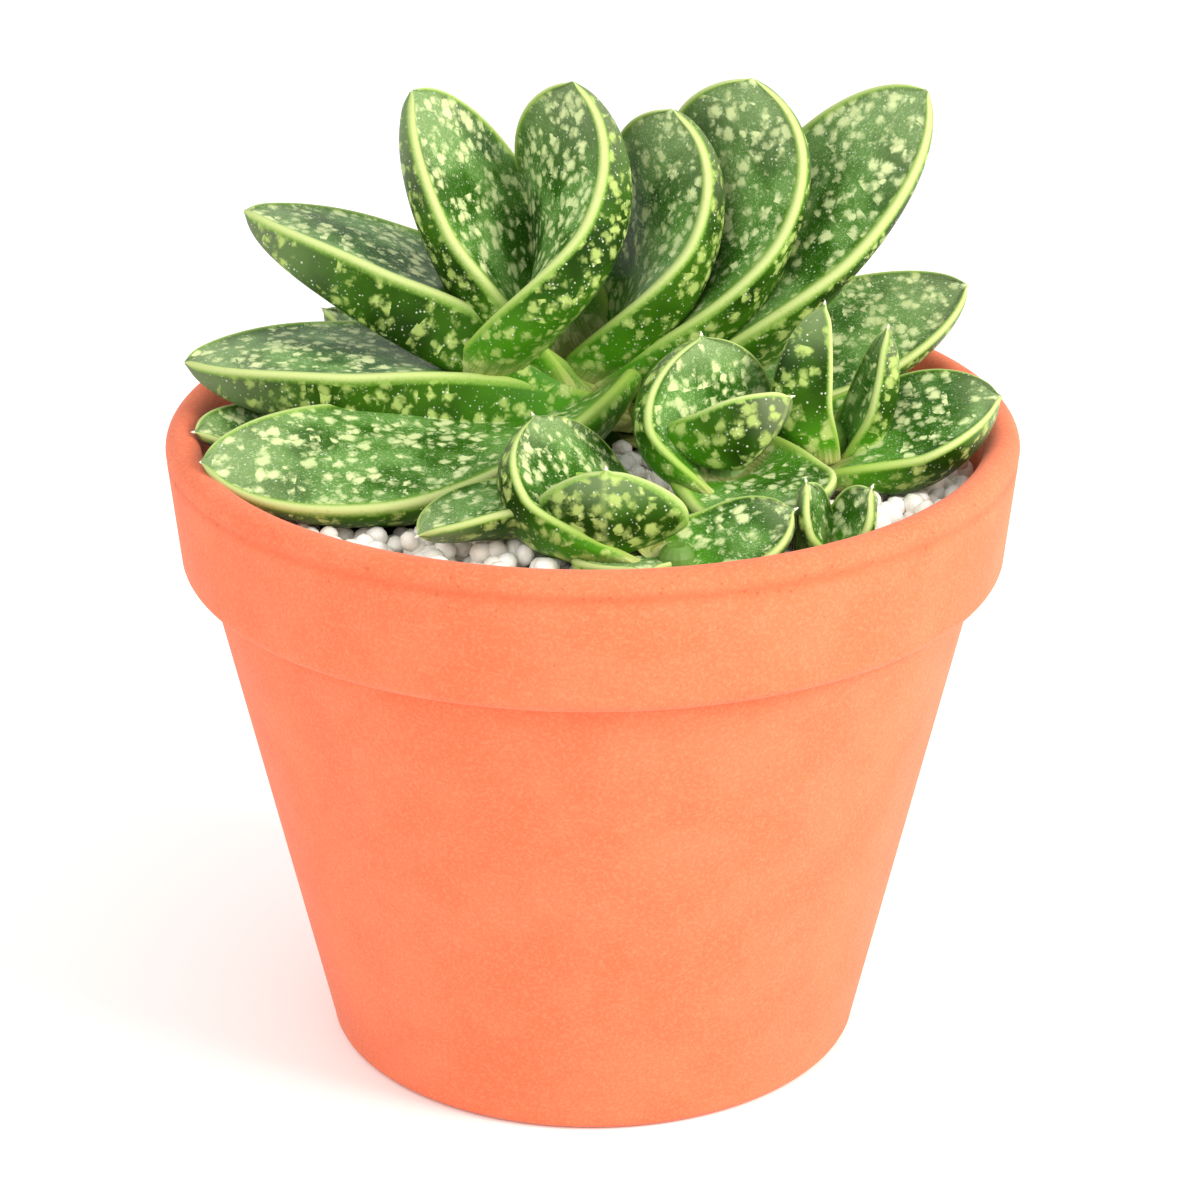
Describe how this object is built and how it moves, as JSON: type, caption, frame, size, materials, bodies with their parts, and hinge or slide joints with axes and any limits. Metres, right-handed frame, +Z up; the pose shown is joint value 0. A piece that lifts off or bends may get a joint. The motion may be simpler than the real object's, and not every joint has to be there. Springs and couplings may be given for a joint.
{
  "type": "potted gasteria",
  "caption": "Gasteria with thick spotted tongue leaves in two ranks and small offsets round it, in a round terracotta pot top-dressed with white pebbles.",
  "frame": {"origin": "middle of the pot's base, on the surface that it stands on", "axes": "+Z up along the pot's axis; the plant's best side, with the offsets, faces -Y, and +X is to the viewer's right"},
  "size_m": [0.12, 0.12, 0.1383],
  "materials": {
    "terracotta": "unglazed fired clay, matt, with fine pits and faint turning marks",
    "soil": "dark gritty potting mix, matt",
    "pebbles": "small tumbled white pebbles, satin",
    "stem": "pale fibrous green, matt",
    "leaf": "fleshy dark green with pale blotches and pale margins, satin to glossy"
  },
  "bodies": {
    "root": {"gravel": "pebbles", "leaf_l1": "leaf", "leaf_l2": "leaf", "leaf_l3": "leaf", "leaf_l4": "leaf", "leaf_r5": "leaf", "leaf_r6": "leaf", "leaf_r7": "leaf", "leaf_r8": "leaf", "leaf_r9": "leaf", "main_stem": "stem", "offset_a_leaf_1": "leaf", "offset_a_leaf_2": "leaf", "offset_a_leaf_3": "leaf", "offset_a_leaf_4": "leaf", "offset_a_stem": "stem", "offset_b_leaf_1": "leaf", "offset_b_leaf_2": "leaf", "offset_b_leaf_3": "leaf", "offset_b_stem": "stem", "offset_c_leaf_1": "leaf", "offset_c_leaf_2": "leaf", "offset_c_leaf_3": "leaf", "offset_c_stem": "stem", "offset_d_leaf_1": "leaf", "offset_d_leaf_2": "leaf", "offset_d_stem": "stem", "offset_e_leaf_1": "leaf", "offset_e_stem": "stem", "offset_f_leaf_1": "leaf", "offset_f_leaf_2": "leaf", "offset_f_stem": "stem", "offset_g_leaf_1": "leaf", "offset_g_leaf_2": "leaf", "offset_g_stem": "stem", "pot": "terracotta", "soil": "soil"}
  },
  "joints": []
}
